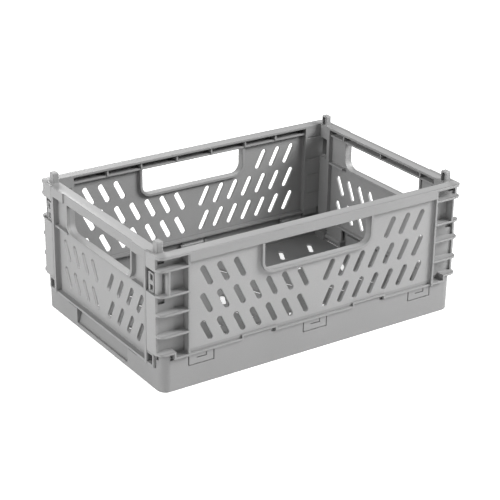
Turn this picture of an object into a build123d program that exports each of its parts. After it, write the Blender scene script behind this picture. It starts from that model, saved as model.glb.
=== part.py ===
"""Folding storage crate: a shallow base tray, two long sides and two short ends that stand on
hinges inside it, and four snap latches that lock the ends to the sides at the corners.

Frame: the origin is the middle of the base's underside, X runs along the long sides, Y across
and Z up. The front side is at -Y and the left end at -X. All sizes are in millimetres.
"""

import os
from math import atan2, degrees

from build123d import *

# Whole crate
length = 300.0
width = 200.0
rim_height = 118.0
wall = 2.0
sheet = 1.9
rib = 1.7
gap = 0.4
seam = 0.9
corner_radius = 5.5

# Base tray
base_inset = 2.7
base_height = 28.0
base_wall = 2.2
base_corner = 8.0
foot_chamfer = 0.8
floor_bottom = 2.0
floor_top = 4.0
end_notch_half = 88.7
end_notch_z = 20.0
grip_half = 43.0
grip_bottom_z = 4.8
grip_top_z = 18.6
grip_deep = 5.6
grip_shallow = 2.0
grip_wall = 1.6
grip_cheek = 2.4
groove_y = (44.5, 58.5)
groove_z = (17.8, 18.7)
groove_deep = 0.7
riser_x = 139.4
riser_y = 92.0
riser_top = 33.6
floor_pitch = 33.0
floor_rows = (17.0, 42.5, 68.0)
floor_slot_width = 4.6
underside_pitch_x = 66.0
underside_pitch_y = 55.0

# Slots that all the panels share
slot_length = 19.8
slot_width = 5.0
slot_rise = 16.9
slot_run = 8.5
slot_angle = degrees(atan2(slot_rise, slot_run))

# Long sides
side_depth = 10.0
side_recess = 3.0
column_inner = 122.3
side_bottom = 28.4
rail_bottom = 109.5
rail_floor = 1.6
rail_setback = 1.5
column_wall = 1.8
leg_reach = 21.0
skin = 2.2
skin_edge = 6.5
leg_bottom = 33.0
rib_heights = (106.5, 85.0, 69.0, 50.5)
inside_groove = (124.7, 141.8)
inside_groove_deep = 0.5
inside_groove_half = 0.6
notch_heights = (109.9, 76.3)
notch_tall = 4.1
step_rib_z = 35.0
foot_z = 29.2
step_x = 135.4
web_x = 141.2
side_slot_first = 105.9
side_slot_pitch = 15.5
side_slot_rows = (93.4, 69.7, 46.0)
long_gussets = (18.2, 54.8, 88.6)
lip_out = 98.6
lip_thick = 1.9
inner_rib_z = (30.6, 32.4)
step_thick = 1.6
tongue_rise = 3.2
tongue_spans = ((-71.4, -40.2), (39.8, 71.0))
tongue_short = 3.4
tab_centres = (-110.8, 0.0, 110.8)
tab_width = 22.6
tab_bottom = 19.4
tab_thick = 1.8
tab_slot_x = (-4.4, 5.2)
tab_slot_z = (24.0, 24.9)
tab_slot_hook = (4.3, 27.3)

# Short ends
end_depth = 10.8
end_recess = 5.0
end_half = 89.7
end_foot_half = 88.2
end_foot_top = 28.8
foot_gap = 0.7
end_bottom = 20.6
strip_inner = 75.4
block_inner = 57.5
rail_step = 1.0
foot_step = 0.6
column_plate = 1.8
end_slot_first = 61.0
end_slot_pitch = 15.9
end_slot_rows = (63.9, 39.1)
end_gussets = (-55.0, 0.0, 55.0)

# Handles, the same in all four panels
handle_half = 53.0
handle_bottom = 84.4
handle_corner = 9.0
border = 2.3
border_depth = 7.2
border_setback = 0.3

# Stacking pegs on the ends, and the sockets for them under the base
peg_x = (139.9, 145.7)
peg_y = (82.2, 89.4)
peg_height = 9.0
peg_wall = 1.6
peg_round = 1.1
socket_play = 0.4
socket_depth = 9.6
socket_wall = 1.4

# Hinges: the pins turn in lugs on the base
side_hinge_y = 94.3
side_hinge_z = 25.0
end_hinge_x = 140.5
end_hinge_z = 8.0
barrel_radius = 2.0
pin_radius = 1.2
hole_radius = 1.29
pin_reach = 2.0
lug_thick = 2.5
lug_gap = 0.3
side_lug_reach = 2.4
side_lug_z = (21.0, 27.2)
end_lug_reach = 3.0
end_lug_top = 10.8
barrel_opening = 1.5
end_leg_span = (53.4, 76.6)

# Snap latches, and the windows that they show through
window_bottom = 84.5
window_top = 104.8
latch_y = (80.7, 88.9)
latch_z = (85.0, 101.6)
latch_round = 0.9
latch_holes_y = (83.4, 87.3)
latch_holes_z = (86.4, 95.1)
latch_hole_tall = 5.0
latch_arm_half = 0.7
latch_out = 148.6
latch_thick = 1.4
latch_root_x = 142.9
latch_root_z = 86.0
latch_root_radius = 1.3
catch_radius = 4.3
catch_thick = 1.3
catch_window = (86.0, 105.2)

half_length = length / 2
half_width = width / 2
base_x = half_length - base_inset
base_y = half_width - base_inset
base_in_x = base_x - base_wall
base_in_y = base_y - base_wall
skin_inside = half_length - skin
skin_clear = gap - 0.1 - skin_inside
latch_swing_x = 3.2 - latch_out
leg_line = half_width - leg_reach


def slab(x_span, y_span, z_span, mode=Mode.ADD):
    """A straight-sided block between two places on each axis."""
    spans = [sorted(span) for span in (x_span, y_span, z_span)]
    with Locations(tuple((low + high) / 2 for low, high in spans)):
        Box(*(high - low for low, high in spans), mode=mode)


def rod(start, reach, radius, along, mode=Mode.ADD):
    """A round bar or hole from a start point, along X or Y."""
    turn = (0, 90, 0) if along == "X" else (-90, 0, 0)
    with Locations(Location(start, turn)):
        Cylinder(radius, reach, align=(Align.CENTER, Align.CENTER, Align.MIN), mode=mode)


def leaning_slots(places):
    """Slots whose upper ends lean away from the middle of the panel."""
    for across, up in places:
        with Locations((across, up)):
            SlotOverall(slot_length, slot_width, rotation=slot_angle if across > 0 else -slot_angle)


def handle_outline(grow):
    """The handle opening, its lower corners rounded, grown outward and cut off at the rail."""
    tall = 2 * (rail_bottom - handle_bottom)
    with Locations((0, handle_bottom + tall / 2)):
        RectangleRounded(2 * (handle_half + grow), tall + 2 * grow, handle_corner + grow)
    with Locations((0, rail_bottom + 0.5)):
        Rectangle(length, tall, align=(Align.CENTER, Align.MIN), mode=Mode.SUBTRACT)


def crate_plan(inset=0.0, mode=Mode.ADD):
    """The rounded outline of the whole crate, seen from above."""
    RectangleRounded(length - 2 * inset, width - 2 * inset, corner_radius - inset, mode=mode)


def front_strip_only(depth):
    """Keep only the part of a plan within a depth of the front edge."""
    with Locations((0, depth - half_width)):
        Rectangle(length + 2, width, align=(Align.CENTER, Align.MIN), mode=Mode.SUBTRACT)


# ---------------------------------------------------------------------------------------------
# Base tray
# ---------------------------------------------------------------------------------------------
with BuildPart() as base_tray:
    with BuildSketch():
        RectangleRounded(2 * base_x, 2 * base_y, base_corner)
    extrude(amount=base_height)
    chamfer(base_tray.edges().group_by(Axis.Z)[0], foot_chamfer)
    with BuildSketch(Plane.XY.offset(floor_top)):
        RectangleRounded(2 * base_in_x, 2 * base_in_y, base_corner - base_wall)
    extrude(amount=base_height, mode=Mode.SUBTRACT)

    # Underside: a rim to stand on and a grid of stiffening ribs
    with BuildSketch():
        RectangleRounded(2 * base_in_x, 2 * base_in_y, base_corner - base_wall)
        with GridLocations(underside_pitch_x, 0, 5, 1):
            Rectangle(rib, width, mode=Mode.SUBTRACT)
        with GridLocations(0, underside_pitch_y, 1, 3):
            Rectangle(length, rib, mode=Mode.SUBTRACT)
    extrude(amount=floor_bottom, mode=Mode.SUBTRACT)

    # End walls stand lower where the end panels cover them
    for side in (-1, 1):
        slab((side * (base_in_x - 1), side * (base_x + 1)), (-end_notch_half, end_notch_half),
             (end_notch_z, base_height + 1), Mode.SUBTRACT)

    # Finger grips: a thicker wall with a pocket whose back slopes, deepest at the top
    for side in (-1, 1):
        slab((side * (base_x - 0.5), side * (base_x - grip_deep - grip_wall)),
             (-grip_half - grip_cheek, grip_half + grip_cheek), (floor_top, end_notch_z))
    for turn in (0, 180):
        with BuildSketch(Plane.XZ.rotated((0, 0, turn)).offset(-grip_half)):
            with BuildLine():
                Polyline((base_x + 1, grip_bottom_z), (base_x - grip_shallow, grip_bottom_z),
                         (base_x - grip_deep, grip_top_z), (base_x + 1, grip_top_z), close=True)
            make_face()
        extrude(amount=2 * grip_half, mode=Mode.SUBTRACT)

    # Fine grooves each side of the grips
    for side in (-1, 1):
        for flank in (-1, 1):
            slab((side * (base_x - groove_deep), side * (base_x + 1)),
                 (flank * groove_y[0], flank * groove_y[1]), groove_z, Mode.SUBTRACT)

    # Long walls: notches for the hinge tabs, and tongues that stand up between them
    for side in (-1, 1):
        for centre in tab_centres:
            half = tab_width / 2 + seam
            slab((centre - half, centre + half), (side * (base_in_y - 1), side * (base_y + 1)),
                 (tab_bottom - seam, base_height + 1), Mode.SUBTRACT)
        for start, end in tongue_spans:
            slab((side * -(start + seam), side * -(end - tongue_short)),
                 (side * base_in_y, side * base_y),
                 (base_height - 1, base_height + tongue_rise - gap))

    # Risers at the corners carry the stepped ribs of the columns
    with BuildSketch(Plane.XY.offset(base_height - 1)):
        RectangleRounded(2 * base_x, 2 * base_y, base_corner)
        RectangleRounded(2 * base_in_x, 2 * base_in_y, base_corner - base_wall, mode=Mode.SUBTRACT)
        Rectangle(2 * riser_x, width, mode=Mode.SUBTRACT)
        Rectangle(length, 2 * riser_y, mode=Mode.SUBTRACT)
    extrude(amount=riser_top - base_height + 1)

    # Lugs for the long sides' hinges
    for side in (-1, 1):
        for centre in tab_centres:
            for flank in (-1, 1):
                near = centre + flank * (tab_width / 2 + lug_gap)
                far = near + flank * lug_thick
                slab((near, far), (side * (base_in_y + 0.5), side * (side_hinge_y - side_lug_reach)),
                     side_lug_z)
                rod((min(near, far) - 0.5, side * side_hinge_y, side_hinge_z), lug_thick + 1.0,
                    hole_radius, "X", Mode.SUBTRACT)

    # Lugs for the ends' hinges, with an opening in the floor below each barrel
    for side in (-1, 1):
        for flank in (-1, 1):
            inner, outer = (flank * place for place in end_leg_span)
            for near, way in ((inner - flank * gap, -flank), (outer + flank * gap, flank)):
                far = near + way * lug_thick
                slab((side * (base_in_x + 0.5), side * (end_hinge_x - end_lug_reach)), (near, far),
                     (floor_top - 0.5, end_lug_top))
                rod((side * end_hinge_x, min(near, far) - 0.5, end_hinge_z), lug_thick + 1.0,
                    hole_radius, "Y", Mode.SUBTRACT)
            slab((side * (end_hinge_x - barrel_opening), side * (end_hinge_x + barrel_opening)),
                 (inner, outer), (-1, floor_top + 1), Mode.SUBTRACT)

    # Sockets that drop over the pegs of a crate below
    for side in (-1, 1):
        for flank in (-1, 1):
            x_near, x_far = peg_x[0] - socket_play, peg_x[1] + socket_play
            y_near, y_far = peg_y[0] - socket_play, peg_y[1] + socket_play
            slab((side * (x_near - socket_wall), side * (base_in_x + 0.5)),
                 (flank * (y_near - socket_wall), flank * (y_far + socket_wall)),
                 (0, socket_depth + socket_wall))
            slab((side * x_near, side * x_far), (flank * y_near, flank * y_far),
                 (-1, socket_depth), Mode.SUBTRACT)

    # Floor slots in a lozenge pattern: the lean swaps every two columns and across the middle
    with BuildSketch(Plane.XY.offset(floor_bottom - 1)):
        for column in range(8):
            lean = slot_angle if column // 2 % 2 else -slot_angle
            for row in floor_rows:
                for half in (-1, 1):
                    with Locations(((column - 3.5) * floor_pitch, half * row)):
                        SlotOverall(slot_length, floor_slot_width, rotation=half * lean)
    extrude(amount=floor_top, mode=Mode.SUBTRACT)
base_tray.part.label = "base_tray"

# ---------------------------------------------------------------------------------------------
# Long sides
# ---------------------------------------------------------------------------------------------
with BuildPart() as front_side:
    face_y = -half_width + side_recess
    inner_y = -half_width + side_depth

    # Recessed sheet with its slots and the handle opening in a raised border
    slab((-column_inner - 0.5, column_inner + 0.5), (face_y, face_y + sheet),
         (side_bottom, rail_bottom + 1))
    with BuildSketch(Plane.XZ.offset(-face_y + 1)):
        for row, up in enumerate(side_slot_rows):
            count = 3 if row == 0 else 7
            across = [side_slot_first - side_slot_pitch * k for k in range(count)]
            leaning_slots([(place * side, up) for place in across for side in (-1, 1)])
    extrude(amount=-4, mode=Mode.SUBTRACT)
    with BuildSketch(Plane.XZ.offset(half_width - border_setback)):
        handle_outline(border)
    extrude(amount=-border_depth)
    with BuildSketch(Plane.XZ.offset(half_width + 1)):
        handle_outline(0)
    extrude(amount=-12, mode=Mode.SUBTRACT)

    # Top rail: a channel that opens inward, its top plate run out to both corners
    with BuildSketch(Plane.XY.offset(rim_height - wall)):
        crate_plan()
        front_strip_only(side_depth)
    extrude(amount=wall)
    slab((-column_inner - 0.5, column_inner + 0.5), (-half_width, -half_width + wall),
         (rail_bottom, rim_height - 0.5))
    slab((-column_inner - 0.5, column_inner + 0.5), (-half_width + 0.5, inner_y - rail_setback),
         (rail_bottom, rail_bottom + rail_floor))
    for place in long_gussets:
        for side in (-1, 1):
            slab((side * place - rib / 2, side * place + rib / 2), (-half_width + 1, inner_y - 1.0),
                 (rail_bottom + 1, rim_height - 1))

    # Corner columns: ribs, an inner wall, a web beside the latch, and a back wall
    for height in rib_heights:
        with BuildSketch(Plane.XY.offset(height - rib / 2)):
            crate_plan()
            front_strip_only(side_depth)
            Rectangle(2 * column_inner, width + 2, mode=Mode.SUBTRACT)
        extrude(amount=rib)
    with BuildSketch(Plane.XY.offset(step_rib_z - rib / 2)):
        crate_plan()
        front_strip_only(side_depth)
        Rectangle(2 * step_x, width + 2, mode=Mode.SUBTRACT)
    extrude(amount=rib)
    for side in (-1, 1):
        slab((side * column_inner, side * (column_inner + column_wall)), (-half_width + 0.3, inner_y),
             (side_bottom, rim_height - 1))
        slab((side * column_inner, side * (skin_inside + 0.5)), (inner_y - wall, inner_y),
             (step_rib_z, rim_height - 1))
        slab((side * column_inner, side * (step_x + rib)), (inner_y - wall, inner_y),
             (side_bottom, step_rib_z + 1))
        slab((side * column_inner, side * (step_x + rib)), (-half_width, inner_y),
             (foot_z, foot_z + rib))
        slab((side * step_x, side * (step_x + rib)), (-half_width, inner_y), (foot_z, step_rib_z))
        slab((side * (web_x - rib / 2), side * (web_x + rib / 2)), (-half_width, inner_y - 1),
             (rib_heights[1], rib_heights[0]))

    # Shallow grooves on the inside mark where the ribs meet the back wall
    for height in rib_heights:
        for side in (-1, 1):
            slab((side * inside_groove[0], side * inside_groove[1]),
                 (inner_y - inside_groove_deep, inner_y + 1),
                 (height - inside_groove_half, height + inside_groove_half), Mode.SUBTRACT)

    # Skin that wraps round onto the ends, with the latch window in it
    with BuildSketch(Plane.XY.offset(leg_bottom)):
        crate_plan()
        front_strip_only(leg_reach)
        Rectangle(2 * skin_inside, width + 2, mode=Mode.SUBTRACT)
        with Locations((0, -half_width)):
            Rectangle(length + 2, 2 * skin_edge, mode=Mode.SUBTRACT)
    extrude(amount=rim_height - leg_bottom)
    for side in (-1, 1):
        slab((side * (skin_inside - 0.1), side * (half_length + 1)),
             (-half_width + skin_edge, -half_width + leg_reach + 1), (window_bottom, window_top),
             Mode.SUBTRACT)
        slab((side * (web_x + 1.2), side * (skin_inside + 0.2)), (inner_y - 3, inner_y + 1),
             catch_window, Mode.SUBTRACT)
        for low in notch_heights:
            slab((side * (web_x - 0.2), side * skin_inside), (inner_y - 3, inner_y + 1),
                 (low, low + notch_tall), Mode.SUBTRACT)
        with BuildSketch(Plane.XY.offset(rib_heights[1])):
            with Locations((side * (latch_out - catch_radius), inner_y)):
                Circle(catch_radius)
                Circle(catch_radius - catch_thick, mode=Mode.SUBTRACT)
            with Locations((0, inner_y - 0.3)):
                Rectangle(length + 2, width, align=(Align.CENTER, Align.MIN), mode=Mode.SUBTRACT)
            Rectangle(2 * (latch_out - catch_radius), length, mode=Mode.SUBTRACT)
        extrude(amount=rib_heights[0] - rib_heights[1])

    # Lower lip, stepped up between the hinge tabs where the base's tongues stand
    slab((-column_inner, column_inner), (-lip_out, face_y + 1), (side_bottom, side_bottom + lip_thick))
    slab((-column_inner, column_inner), (face_y + 0.5, inner_y - 0.5), inner_rib_z)
    for start, end in tongue_spans:
        step_z = side_bottom + tongue_rise
        slab((start, end), (-half_width, face_y + sheet + gap), (side_bottom - 1, step_z), Mode.SUBTRACT)
        slab((start - step_thick, end + step_thick), (-lip_out, face_y + 1), (step_z, step_z + step_thick))
        for near, far in ((start - step_thick, start), (end, end + step_thick)):
            slab((near, far), (-lip_out, face_y + 1), (side_bottom, step_z + 1))

    # Hinge tabs with their moulding slots, and the barrels behind them
    for centre in tab_centres:
        slab((centre - tab_width / 2, centre + tab_width / 2),
             (-base_y, -base_y + tab_thick), (tab_bottom, side_bottom + 0.5))
        slab((centre + tab_slot_x[0], centre + tab_slot_x[1]), (-base_y - 1, -base_y + 3),
             tab_slot_z, Mode.SUBTRACT)
        slab((centre + tab_slot_hook[0], centre + tab_slot_x[1]), (-base_y - 1, -base_y + 3),
             (tab_slot_z[0], tab_slot_hook[1]), Mode.SUBTRACT)
        slab((centre - tab_width / 2, centre + tab_width / 2),
             (-side_hinge_y - 1.0, -side_hinge_y + 0.9), (side_hinge_z, side_bottom + 1.5))
        rod((centre - tab_width / 2, -side_hinge_y, side_hinge_z), tab_width, barrel_radius, "X")
        rod((centre - tab_width / 2 - pin_reach, -side_hinge_y, side_hinge_z),
            tab_width + 2 * pin_reach, pin_radius, "X")
front_side.part.label = "front_side"

with BuildPart() as back_side:
    add(front_side.part, rotation=(0, 0, 180))
back_side.part.label = "back_side"

# ---------------------------------------------------------------------------------------------
# Short ends
# ---------------------------------------------------------------------------------------------
with BuildPart() as left_end:
    face_x = -half_length + end_recess
    inner_x = -half_length + end_depth
    front_x = -half_length + rail_step
    foot_x = -half_length + foot_step

    # Recessed sheet with its slots and the handle opening in a raised border
    slab((face_x, face_x + sheet), (-strip_inner - 1, strip_inner + 1), (end_bottom, rail_bottom + 1))
    with BuildSketch(Plane.YZ.offset(face_x - 1)):
        leaning_slots([(side * (end_slot_first - end_slot_pitch * k), up)
                       for up in end_slot_rows for k in range(4) for side in (-1, 1)])
    extrude(amount=4, mode=Mode.SUBTRACT)
    with BuildSketch(Plane.YZ.offset(front_x + border_setback)):
        handle_outline(border)
    extrude(amount=border_depth)
    for side in (-1, 1):
        slab((front_x + border_setback, inner_x), (side * (handle_half + 1), side * (strip_inner + 1)),
             (handle_bottom - border, handle_bottom - border + rib))
    with BuildSketch(Plane.YZ.offset(-half_length - 1)):
        handle_outline(0)
    extrude(amount=12, mode=Mode.SUBTRACT)

    # Top rail: a channel that opens inward, stepped out to the corner line at both ends
    slab((front_x, inner_x), (gap - leg_line, leg_line - gap), (rim_height - wall, rim_height))
    slab((front_x, front_x + wall), (-strip_inner, strip_inner), (rail_bottom, rim_height - 0.5))
    slab((front_x + 0.5, inner_x - rail_setback), (-strip_inner, strip_inner),
         (rail_bottom, rail_bottom + rail_floor))
    for place in end_gussets:
        slab((front_x + 1, inner_x - 1), (place - rib / 2, place + rib / 2),
             (rail_bottom + 1, rim_height - 1))
    for side in (-1, 1):
        slab((-half_length, front_x + 1), (side * block_inner, side * (leg_line - gap)),
             (rail_bottom, rim_height))

    for side in (-1, 1):
        # Edge column: a channel that opens outward behind the side's skin
        slab((inner_x, inner_x - wall), (side * strip_inner, side * end_half),
             (end_foot_top, rim_height - 1))
        slab((inner_x, inner_x - wall), (side * strip_inner, side * end_foot_half),
             (end_bottom, end_foot_top + 1))
        slab((-half_length, -half_length + wall), (side * strip_inner, side * (leg_line - gap)),
             (end_bottom, rim_height - 1))
        slab((-half_length + 1, inner_x), (side * strip_inner, side * (strip_inner + wall)),
             (end_bottom, rim_height - 1))
        slab((skin_clear, inner_x), (side * (end_half - column_plate), side * end_half),
             (end_foot_top, rim_height - 1))
        slab((foot_x, inner_x), (side * (end_foot_half - column_plate), side * end_foot_half),
             (end_bottom, leg_bottom - foot_gap))
        for low in (end_bottom, leg_bottom - foot_gap - rib):
            slab((foot_x, inner_x), (side * strip_inner, side * end_foot_half), (low, low + rib))
        slab((skin_clear, inner_x), (side * (end_foot_half - column_plate), side * end_half),
             (end_foot_top, leg_bottom - foot_gap))
        for height in (rib_heights[3], rib_heights[2], window_bottom - 1.5, window_top + 1.5):
            slab((skin_clear, inner_x), (side * strip_inner, side * end_half),
                 (height - rib / 2, height + rib / 2))
        slab((skin_clear, inner_x), (side * (strip_inner + 3), side * end_half),
             (rim_height - wall, rim_height))

        # Window round the column's corner, behind the latch, and the seat for the latch's root
        slab((inner_x + 1, inner_x - wall - 1), (side * (strip_inner + 4), side * (end_half + 1)),
             catch_window, Mode.SUBTRACT)
        slab((inner_x - wall, -half_length), (side * (end_half - wall), side * (end_half + 1)),
             catch_window, Mode.SUBTRACT)
        slab((latch_swing_x, -half_length), (side * (end_half - wall), side * (end_half + 1)),
             (latch_z[0] - 0.5, latch_z[1] + 0.5), Mode.SUBTRACT)
        slab((-latch_root_x - 2.2, inner_x - 1), (side * latch_y[0], side * latch_y[1]),
             (window_bottom - wall, latch_root_z - latch_root_radius - 0.2))

        # Stacking peg, hollow and open on the inward side
        slab((-peg_x[1], -peg_x[0]), (side * peg_y[0], side * peg_y[1]),
             (rim_height - 1, rim_height + peg_height))
        peg = left_end.edges().filter_by_position(Axis.Z, rim_height + 0.5, rim_height + peg_height)
        fillet([edge for edge in peg if side * edge.center().Y > 0], peg_round)
        slab((-peg_x[1] + peg_wall, -peg_x[0] + 1),
             (side * (peg_y[0] + peg_wall), side * (peg_y[1] - peg_wall)),
             (rim_height, rim_height + peg_height - peg_wall), Mode.SUBTRACT)

        # Hinge leg, barrel and pins
        inner, outer = sorted(side * place for place in end_leg_span)
        slab((-end_hinge_x - 2.4, -end_hinge_x - 0.5), (inner, outer), (end_hinge_z, end_bottom + 1))
        slab((face_x, -end_hinge_x - 0.5), (inner, outer), (end_bottom, end_bottom + 1.8))
        rod((-end_hinge_x, inner, end_hinge_z), outer - inner, barrel_radius, "Y")
        rod((-end_hinge_x, inner - pin_reach, end_hinge_z), outer - inner + 2 * pin_reach,
            pin_radius, "Y")

    # Lower lip over the base's end wall, and a shallow rib inside above the floor
    slab((foot_x, face_x + 1), (-end_foot_half, end_foot_half), (end_bottom, end_bottom + lip_thick))
    slab((face_x, inner_x), (-strip_inner, strip_inner), (end_bottom + 2.4, end_bottom + 4.1))
left_end.part.label = "left_end"

with BuildPart() as right_end:
    add(left_end.part, rotation=(0, 0, 180))
right_end.part.label = "right_end"

# ---------------------------------------------------------------------------------------------
# Snap latches
# ---------------------------------------------------------------------------------------------
with BuildPart() as latch_front_left:
    arm_y = (-latch_holes_y[1] + 0.3, -latch_holes_y[0] - 0.3)
    slab((-latch_out, -latch_out + latch_thick), (-latch_y[1], -latch_y[0]), latch_z)
    fillet(latch_front_left.edges().filter_by(Axis.X), latch_round)
    for low in latch_holes_z:
        slab((-latch_out - 1, -latch_out + 3), (-latch_holes_y[1], -latch_holes_y[0]),
             (low, low + latch_hole_tall), Mode.SUBTRACT)
    slab((-latch_out + 0.5, -latch_root_x), arm_y,
         (latch_root_z - latch_arm_half, latch_root_z + latch_arm_half))
    rod((-latch_root_x, arm_y[0], latch_root_z), arm_y[1] - arm_y[0], latch_root_radius, "Y")
latch_front_left.part.label = "latch_front_left"

with BuildPart() as latch_back_left:
    add(mirror(latch_front_left.part, about=Plane.XZ, mode=Mode.PRIVATE))
latch_back_left.part.label = "latch_back_left"

with BuildPart() as latch_front_right:
    add(mirror(latch_front_left.part, about=Plane.YZ, mode=Mode.PRIVATE))
latch_front_right.part.label = "latch_front_right"

with BuildPart() as latch_back_right:
    add(latch_front_left.part, rotation=(0, 0, 180))
latch_back_right.part.label = "latch_back_right"

pieces = [base_tray, front_side, back_side, left_end, right_end,
          latch_front_left, latch_back_left, latch_front_right, latch_back_right]
os.makedirs("parts", exist_ok=True)
for piece in pieces:
    export_step(piece.part, f"parts/{piece.part.label}.step")
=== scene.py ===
"""Looks for a folding storage crate of injection-moulded polypropylene, on lit opal acrylic."""

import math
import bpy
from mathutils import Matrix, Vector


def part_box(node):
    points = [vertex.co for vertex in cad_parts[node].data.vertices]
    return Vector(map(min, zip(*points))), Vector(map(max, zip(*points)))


bl_info = {
    "name": "Folding Crate Looks",
    "version": (1, 0, 0),
    "blender": (4, 5, 0),
    "location": "3D View > Sidebar > Crate",
    "description": "Plastic finishes, lit floor, soft light and camera for a folding storage crate",
    "category": "Object",
}

import bmesh
import bpy
from mathutils import Matrix, Vector

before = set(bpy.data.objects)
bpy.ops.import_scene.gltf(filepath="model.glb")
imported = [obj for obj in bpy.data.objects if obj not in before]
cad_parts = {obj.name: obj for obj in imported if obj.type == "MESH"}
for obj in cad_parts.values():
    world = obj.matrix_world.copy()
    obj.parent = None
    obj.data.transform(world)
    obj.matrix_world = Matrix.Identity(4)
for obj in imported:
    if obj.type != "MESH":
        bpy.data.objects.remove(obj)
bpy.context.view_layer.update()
MM = 0.001

# The parts, the planes of their outer faces, and their corners
LONG_SIDES = ("front_side", "back_side")
SHORT_ENDS = ("left_end", "right_end")
LATCHES = tuple(sorted(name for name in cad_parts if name.startswith("latch_")))
SIDE_FACE = -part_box("front_side")[0].y
END_FACE = -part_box("left_end")[0].x
END_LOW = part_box("left_end")[0]
BASE_LOW, BASE_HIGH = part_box("base_tray")

# Least depths that tell the recessed sheets from the faces around them
SIDE_RECESS = 2 * MM
END_RECESS = 4 * MM

# Skin of the plastic, and the patterns in it and in the floor
FACE_ROUGHNESS = 0.46
PANEL_ROUGHNESS = 0.6
FLOW_SIZE = 60 * MM
GRAIN_SIZE = 0.9 * MM
GRAIN_RELIEF = 0.08 * MM
CLOUD_SIZE = 4 * MM
POLYPROPYLENE_IOR = 1.49
ACRYLIC_IOR = 1.49

# Stage: each soft box has its share of the power, and its place in metres
SOFT_BOX_SIZE = 0.9
SOFT_BOXES = (("right_softbox", 0.50, (1.3, -0.9, 1.2)), ("left_softbox", 0.22, (-1.6, 0.3, 0.9)),
              ("back_softbox", 0.20, (0.3, 1.7, 0.8)), ("front_softbox", 0.08, (-0.9, -1.2, 1.5)))
LIGHT_AIM = (0, 0, 60 * MM)
CAMERA_AIM = Vector((0, 1.5, 50.7)) * MM
CAMERA_SHIFT = (0.0021, 0.0057)
SENSOR_WIDTH = 36
FLOOR_REACH = 6.0
FLOOR_CELLS = 8
FLOOR_DROP = 0.1 * MM


# --- Colours and materials -------------------------------------------------------------------

def linear(hex_colour):
    """An sRGB hex colour as the linear RGBA that shaders take."""
    channels = [int(hex_colour[place:place + 2], 16) / 255 for place in (1, 3, 5)]
    curved = [c / 12.92 if c <= 0.04045 else ((c + 0.055) / 1.055) ** 2.4 for c in channels]
    return (*curved, 1.0)


def add_node(tree, kind, settings=None, links=None):
    """Add a shader node, set its sockets or settings by name, and link outputs into its inputs."""
    node = tree.nodes.new(kind)
    for name, value in (settings or {}).items():
        if isinstance(name, int) or name in node.inputs:
            node.inputs[name].default_value = value
        else:
            setattr(node, name, value)
    for name, source in (links or {}).items():
        tree.links.new(source, node.inputs[name])
    return node


def new_material(name):
    """An empty node material, and its object coordinates."""
    material = bpy.data.materials.new(name)
    material.use_nodes = True
    material.node_tree.nodes.clear()
    place = add_node(material.node_tree, "ShaderNodeTexCoord").outputs["Object"]
    return material, material.node_tree, place


def moulded_polypropylene(name, face_hex, panel_hex, edge_radius, panel_axis, panel_depth,
                          panel_bottom):
    """Grey polypropylene as it leaves the mould: the tool's polished faces give a smooth satin skin,
    and its spark-eroded panel areas give a paler, finely pitted one that scatters more light."""
    material, tree, place = new_material(name)

    # A recessed sheet is told from the faces around it by its depth, and from the tabs by its height
    axes = add_node(tree, "ShaderNodeSeparateXYZ", links={0: place}).outputs
    across = add_node(tree, "ShaderNodeMath", {"operation": "ABSOLUTE"}, {0: axes[panel_axis]}).outputs[0]
    deep_enough = add_node(tree, "ShaderNodeMath", {"operation": "LESS_THAN", 1: panel_depth},
                           {0: across}).outputs[0]
    high_enough = add_node(tree, "ShaderNodeMath", {"operation": "GREATER_THAN", 1: panel_bottom},
                           {0: axes["Z"]}).outputs[0]
    on_panel = add_node(tree, "ShaderNodeMath", {"operation": "MULTIPLY"},
                        {0: deep_enough, 1: high_enough}).outputs[0]
    skin = add_node(tree, "ShaderNodeMix",
                    {"data_type": "RGBA", 6: linear(face_hex), 7: linear(panel_hex)},
                    {0: on_panel}).outputs[2]
    roughness = add_node(tree, "ShaderNodeMapRange",
                         {"To Min": FACE_ROUGHNESS, "To Max": PANEL_ROUGHNESS},
                         {0: on_panel}).outputs[0]

    # Slow cloudy change of shade, left by the flow of the melt
    flow = add_node(tree, "ShaderNodeTexNoise", {"Scale": 1 / FLOW_SIZE, "Detail": 2.0},
                    {"Vector": place}).outputs["Fac"]
    shade = add_node(tree, "ShaderNodeMapRange",
                     {"From Min": 0.3, "From Max": 0.7, "To Min": 0.97, "To Max": 1.03},
                     {0: flow}).outputs[0]

    # Spark-erosion grain is about 0.1 mm in the tool: it is drawn coarser, as fine as still shows
    grain = add_node(tree, "ShaderNodeTexNoise",
                     {"Scale": 1 / GRAIN_SIZE, "Detail": 3.0, "Roughness": 0.7},
                     {"Vector": place}).outputs["Fac"]
    speck = add_node(tree, "ShaderNodeMapRange",
                     {"From Min": 0.25, "From Max": 0.75, "To Min": 0.95, "To Max": 1.05},
                     {0: grain}).outputs[0]
    tone = add_node(tree, "ShaderNodeMath", {"operation": "MULTIPLY"}, {0: shade, 1: speck}).outputs[0]
    colour = add_node(tree, "ShaderNodeVectorMath", {"operation": "SCALE"},
                      {0: skin, "Scale": tone}).outputs[0]

    # A mould leaves every edge rounded, and the round edges catch the light as thin bright lines:
    # only the shading rounds them here, and the mesh keeps its sharp edges
    rounded = add_node(tree, "ShaderNodeBevel", {"Radius": edge_radius, "samples": 6}).outputs[0]
    relief = add_node(tree, "ShaderNodeBump", {"Strength": 0.12, "Distance": GRAIN_RELIEF},
                      {"Height": grain, "Normal": rounded}).outputs[0]
    surface = add_node(tree, "ShaderNodeBsdfPrincipled", {"IOR": POLYPROPYLENE_IOR, "Metallic": 0.0},
                       {"Base Color": colour, "Roughness": roughness, "Normal": relief})
    add_node(tree, "ShaderNodeOutputMaterial", links={"Surface": surface.outputs[0]})
    return material


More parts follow.
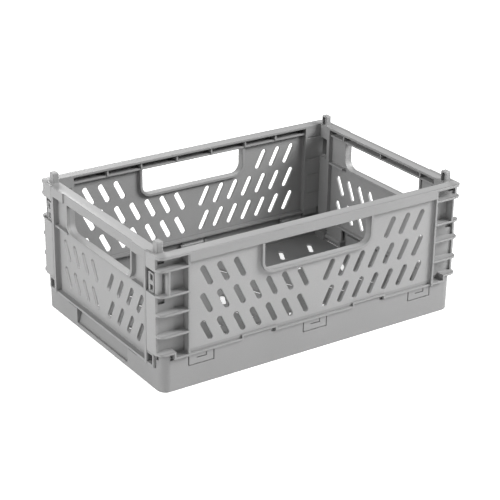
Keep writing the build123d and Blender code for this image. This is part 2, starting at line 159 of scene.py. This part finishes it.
def lit_opal_acrylic(name, floor_hex, glow):
    """Opal acrylic lit from below, as a product table is: a nearly even white, faintly clouded, with
    faint shadows."""
    material, tree, place = new_material(name)
    cloud = add_node(tree, "ShaderNodeTexNoise", {"Scale": 1 / CLOUD_SIZE, "Detail": 2.0},
                     {"Vector": place}).outputs["Fac"]
    shade = add_node(tree, "ShaderNodeMix",
                     {"data_type": "RGBA", 6: linear(floor_hex), 7: linear("#FFFFFF")},
                     {0: cloud}).outputs[2]
    surface = add_node(tree, "ShaderNodeBsdfPrincipled",
                       {"Roughness": 0.9, "IOR": ACRYLIC_IOR, "Emission Color": linear("#FFFFFF"),
                        "Emission Strength": glow}, {"Base Color": shade})
    add_node(tree, "ShaderNodeOutputMaterial", links={"Surface": surface.outputs[0]})
    return material


def dress(names, material):
    """Give carried-over parts their finish."""
    for name in names:
        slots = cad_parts[name].data.materials
        slots.clear()
        slots.append(material)


# --- Properties ------------------------------------------------------------------------------

class CrateFinish(bpy.types.PropertyGroup):
    """Colours and edge rounding of the crate."""
    base_hex: bpy.props.StringProperty(
        name="Base colour", description="sRGB colour of the base tray", default="#797979")
    face_hex: bpy.props.StringProperty(
        name="Frame colour", description="sRGB colour of the smooth rails, ribs and strips",
        default="#7B7B7B")
    panel_hex: bpy.props.StringProperty(
        name="Panel colour", description="sRGB colour of the textured slotted sheets", default="#858585")
    edge_radius: bpy.props.FloatProperty(
        name="Edge radius", description="Rounding that the shading gives the edges",
        default=0.6 * MM, min=0.0, unit="LENGTH")


class CrateStage(bpy.types.PropertyGroup):
    """Floor, light and camera."""
    floor_hex: bpy.props.StringProperty(
        name="Floor colour", description="sRGB colour of the floor", default="#6E6E6E")
    floor_glow: bpy.props.FloatProperty(
        name="Floor glow", description="Light that comes up through the floor", default=0.75, min=0.0)
    room_power: bpy.props.FloatProperty(
        name="Room light", description="Power that the four soft boxes share", default=135.0, min=0.0,
        unit="POWER")
    azimuth: bpy.props.FloatProperty(
        name="Azimuth", description="Turn of the camera round the crate, from straight in front",
        default=math.radians(-34.1), subtype="ANGLE")
    elevation: bpy.props.FloatProperty(
        name="Elevation", description="Height of the camera as an angle", default=math.radians(23.81),
        subtype="ANGLE")
    roll: bpy.props.FloatProperty(
        name="Roll", description="Tilt of the camera about its own line of sight",
        default=math.radians(0.88), subtype="ANGLE")
    distance: bpy.props.FloatProperty(
        name="Distance", description="From the camera to the point it aims at", default=1.333,
        unit="LENGTH")
    focal_length: bpy.props.FloatProperty(
        name="Focal length", description="Of the lens, on a 36 mm sensor", default=110.36, unit="CAMERA")


# --- Operators -------------------------------------------------------------------------------

class CRATE_OT_base(bpy.types.Operator):
    """Finish the base tray"""
    bl_idname = "crate.base"
    bl_label = "Base Tray"

    def execute(self, context):
        finish = context.scene.crate_finish
        dress(["base_tray"], moulded_polypropylene(
            "satin_polypropylene_base", finish.base_hex, finish.base_hex, finish.edge_radius,
            "Y", BASE_HIGH.y, BASE_LOW.z))
        return {"FINISHED"}


class CRATE_OT_sides(bpy.types.Operator):
    """Finish the two long sides"""
    bl_idname = "crate.sides"
    bl_label = "Long Sides"

    def execute(self, context):
        finish = context.scene.crate_finish
        dress(LONG_SIDES, moulded_polypropylene(
            "textured_polypropylene_sides", finish.face_hex, finish.panel_hex, finish.edge_radius,
            "Y", SIDE_FACE - SIDE_RECESS, BASE_HIGH.z))
        return {"FINISHED"}


class CRATE_OT_ends(bpy.types.Operator):
    """Finish the two short ends and the latches moulded with them"""
    bl_idname = "crate.ends"
    bl_label = "Short Ends and Latches"

    def execute(self, context):
        finish = context.scene.crate_finish
        dress(SHORT_ENDS + LATCHES, moulded_polypropylene(
            "textured_polypropylene_ends", finish.face_hex, finish.panel_hex, finish.edge_radius,
            "X", END_FACE - END_RECESS, END_LOW.z))
        return {"FINISHED"}


class CRATE_OT_stage(bpy.types.Operator):
    """Lay the floor, hang the lights and place the camera"""
    bl_idname = "crate.stage"
    bl_label = "Floor, Light and Camera"

    def execute(self, context):
        stage = context.scene.crate_stage
        lay_floor(context, stage)
        light_room(context, stage)
        place_camera(context, stage)
        return {"FINISHED"}


def lay_floor(context, stage):
    """A wide flat board under the crate."""
    mesh = bpy.data.meshes.new("floor")
    form = bmesh.new()
    bmesh.ops.create_grid(form, x_segments=FLOOR_CELLS, y_segments=FLOOR_CELLS, size=FLOOR_REACH)
    form.to_mesh(mesh)
    form.free()
    floor = bpy.data.objects.new("floor", mesh)
    floor.location.z = -FLOOR_DROP
    mesh.materials.append(lit_opal_acrylic("lit_opal_acrylic", stage.floor_hex, stage.floor_glow))
    context.scene.collection.objects.link(floor)


def hang_light(context, name, power, place):
    """A square soft box that faces the middle of the crate."""
    lamp = bpy.data.lights.new(name, "AREA")
    lamp.energy = power
    lamp.size = SOFT_BOX_SIZE
    box = bpy.data.objects.new(name, lamp)
    box.location = place
    box.rotation_euler = (Vector(LIGHT_AIM) - Vector(place)).to_track_quat("-Z", "Y").to_euler()
    context.scene.collection.objects.link(box)


def light_room(context, stage):
    """Four soft boxes round the crate, the strongest to its right, and a plain white surround."""
    world = bpy.data.worlds.new("white_surround")
    world.use_nodes = True
    # The far wall is white to look at, and lights nothing
    seen = add_node(world.node_tree, "ShaderNodeLightPath").outputs["Is Camera Ray"]
    background = world.node_tree.nodes["Background"]
    background.inputs["Color"].default_value = linear("#FFFFFF")
    world.node_tree.links.new(seen, background.inputs["Strength"])
    context.scene.world = world
    for name, share, place in SOFT_BOXES:
        hang_light(context, name, stage.room_power * share, place)
    context.scene.view_settings.view_transform = "Standard"


def place_camera(context, stage):
    """Stand the camera at its angle and aim it at the crate's middle."""
    turn, lift = stage.azimuth, stage.elevation
    back = Vector((math.sin(turn) * math.cos(lift), -math.cos(turn) * math.cos(lift), math.sin(lift)))
    level = Vector((math.cos(turn), math.sin(turn), 0))
    upward = back.cross(level)
    right = math.cos(stage.roll) * level + math.sin(stage.roll) * upward
    up = math.cos(stage.roll) * upward - math.sin(stage.roll) * level
    lens = bpy.data.cameras.new("camera")
    lens.sensor_width = SENSOR_WIDTH
    lens.lens = stage.focal_length
    lens.shift_x, lens.shift_y = CAMERA_SHIFT
    camera = bpy.data.objects.new("camera", lens)
    camera.matrix_world = Matrix.Translation(CAMERA_AIM + stage.distance * back) @ Matrix(
        (right, up, back)).transposed().to_4x4()
    context.scene.collection.objects.link(camera)
    context.scene.camera = camera


class CRATE_PT_panel(bpy.types.Panel):
    """Lists the crate's properties and operators"""
    bl_idname = "CRATE_PT_panel"
    bl_label = "Folding Crate"
    bl_space_type = "VIEW_3D"
    bl_region_type = "UI"
    bl_category = "Crate"

    def draw(self, context):
        layout = self.layout
        for group in (context.scene.crate_finish, context.scene.crate_stage):
            for name in group.__annotations__:
                layout.prop(group, name)
        for operator in OPERATORS:
            layout.operator(operator.bl_idname)


OPERATORS = (CRATE_OT_base, CRATE_OT_sides, CRATE_OT_ends, CRATE_OT_stage)
CLASSES = (CrateFinish, CrateStage, *OPERATORS, CRATE_PT_panel)


def register():
    for cls in CLASSES:
        bpy.utils.register_class(cls)
    bpy.types.Scene.crate_finish = bpy.props.PointerProperty(type=CrateFinish)
    bpy.types.Scene.crate_stage = bpy.props.PointerProperty(type=CrateStage)


def unregister():
    del bpy.types.Scene.crate_stage
    del bpy.types.Scene.crate_finish
    for cls in reversed(CLASSES):
        bpy.utils.unregister_class(cls)


def main():
    register()
    bpy.ops.crate.base()
    bpy.ops.crate.sides()
    bpy.ops.crate.ends()
    bpy.ops.crate.stage()


if __name__ == "__main__":
    main()
